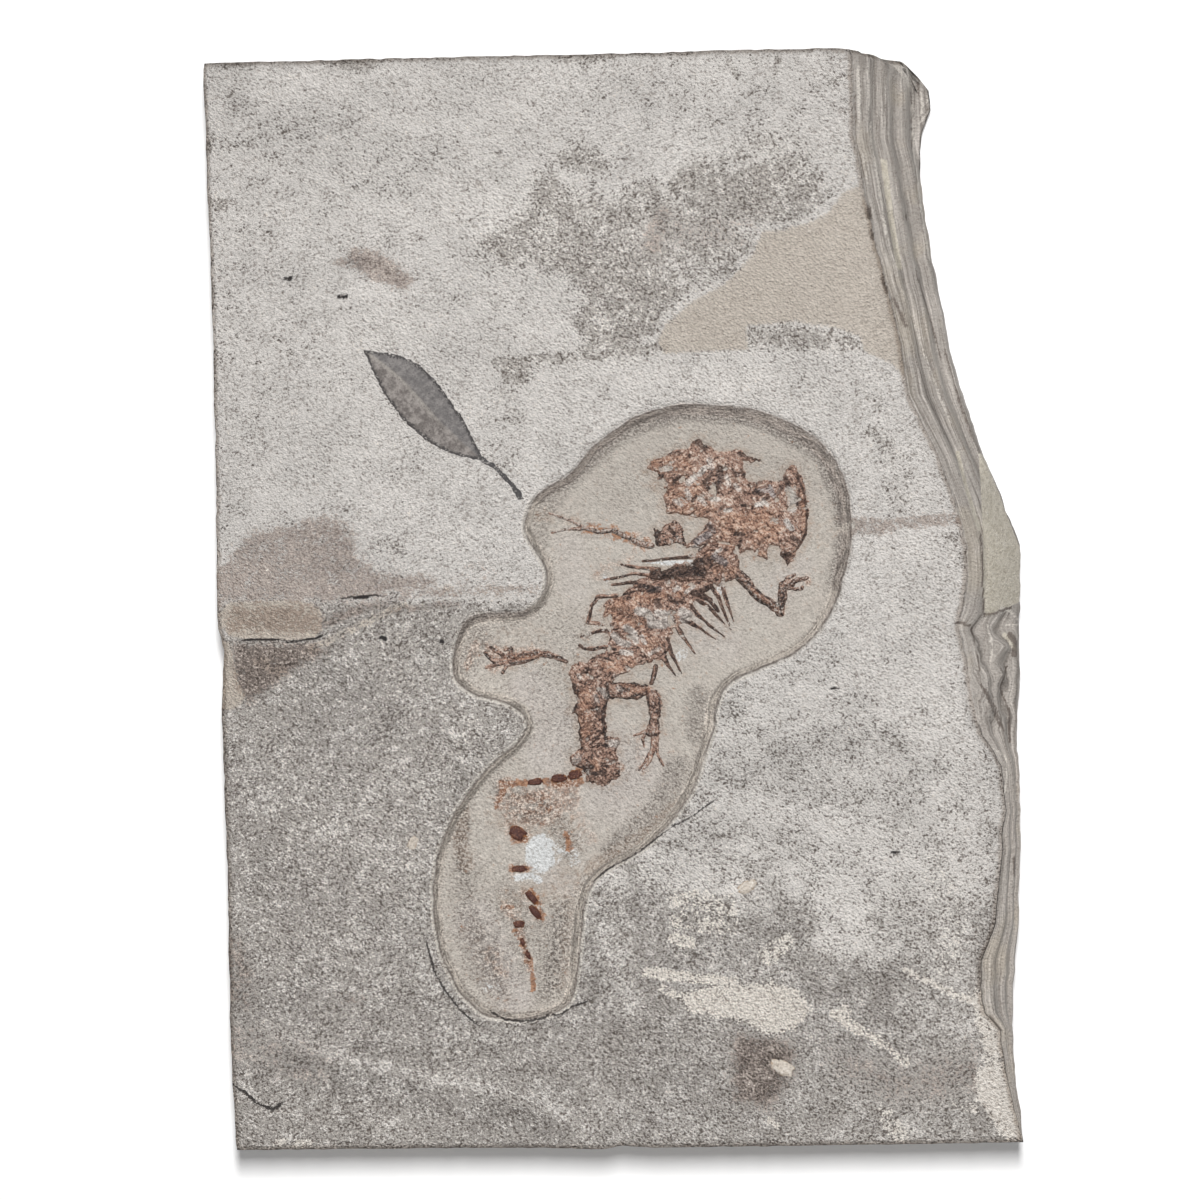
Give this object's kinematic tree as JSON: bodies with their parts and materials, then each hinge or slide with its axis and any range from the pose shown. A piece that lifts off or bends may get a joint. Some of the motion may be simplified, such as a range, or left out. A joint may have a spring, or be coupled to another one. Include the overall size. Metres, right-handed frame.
{
  "type": "fossil newt",
  "caption": "Rectangular slab of pale limestone with a newt skeleton in a prepared hollow and a carbonised leaf beside it.",
  "frame": {"origin": "middle of the slab's flat underside", "axes": "+Z out of the face, +Y along the slab towards the newt's head, +X to the broken side"},
  "size_m": [0.1494, 0.1996, 0.0225],
  "materials": {
    "limestone": "matt, fine-grained, chalky grey with dark speckle and tan stains",
    "leaf_film": "thin matt carbonised film, dark grey to bluish grey",
    "bone": "mineralised bone, rust brown with near-black and cream patches, slightly satin",
    "shell": "smooth cream and brown shell"
  },
  "bodies": {
    "root": {"slab": "limestone", "leaf": "leaf_film", "skull": "bone", "shoulder_plate": "bone", "trunk": "bone", "loose_rib": "bone", "left_arm": "bone", "right_arm": "bone", "left_leg": "bone", "right_leg": "bone", "tail_base": "bone", "tail_vertebra_1": "bone", "tail_vertebra_2": "bone", "tail_vertebra_3": "bone", "tail_vertebra_4": "bone", "tail_vertebra_5": "bone", "tail_vertebra_6": "bone", "tail_vertebra_7": "bone", "tail_vertebra_8": "bone", "tail_vertebra_9": "bone", "tail_vertebra_10": "bone", "shell_bit_1": "shell", "shell_bit_2": "shell", "shell_bit_3": "shell"}
  },
  "joints": []
}
